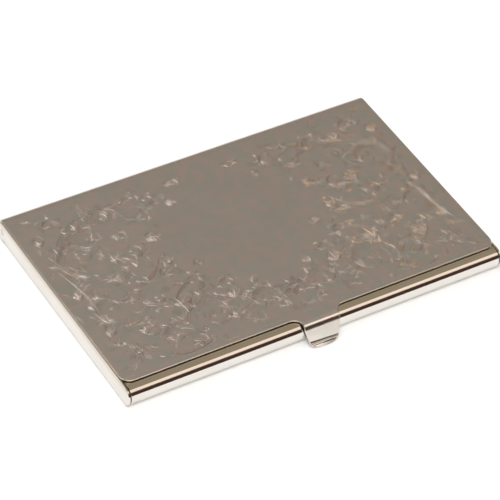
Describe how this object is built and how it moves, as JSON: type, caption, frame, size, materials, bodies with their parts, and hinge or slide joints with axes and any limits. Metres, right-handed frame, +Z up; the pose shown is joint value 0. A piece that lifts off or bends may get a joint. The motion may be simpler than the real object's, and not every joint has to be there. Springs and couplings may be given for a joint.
{
  "type": "business card case",
  "caption": "Slim hinged metal case for business cards: a folded sheet tray with a hinged lid, rounded edges and a thumb tab at the front.",
  "frame": {"origin": "under the middle of the whole closed object, thumb tab included, on the plane it rests on", "axes": "+X along the long edge, -Y towards the thumb tab, +Y towards the hinge, +Z up"},
  "size_m": [0.094, 0.062, 0.0056],
  "materials": {
    "tray": "polished nickel",
    "lid": "polished nickel, faint etched ornament",
    "hinge_pin": "turned, ground flush",
    "spring": "spring steel, satin",
    "rivet": "bright steel"
  },
  "bodies": {
    "tray": {"tray_shell": "tray", "hinge_pin_left": "hinge_pin", "hinge_pin_right": "hinge_pin", "leaf_spring": "spring", "spring_rivet_left": "rivet", "spring_rivet_right": "rivet"},
    "lid": {"lid": "lid"}
  },
  "joints": [
    {"name": "lid_hinge", "type": "hinge", "parent": "tray", "child": "lid", "pos_m": [0, 0.02822, 0.0028], "axis": [-1, 0, 0], "range_deg": [0, 110]}
  ]
}
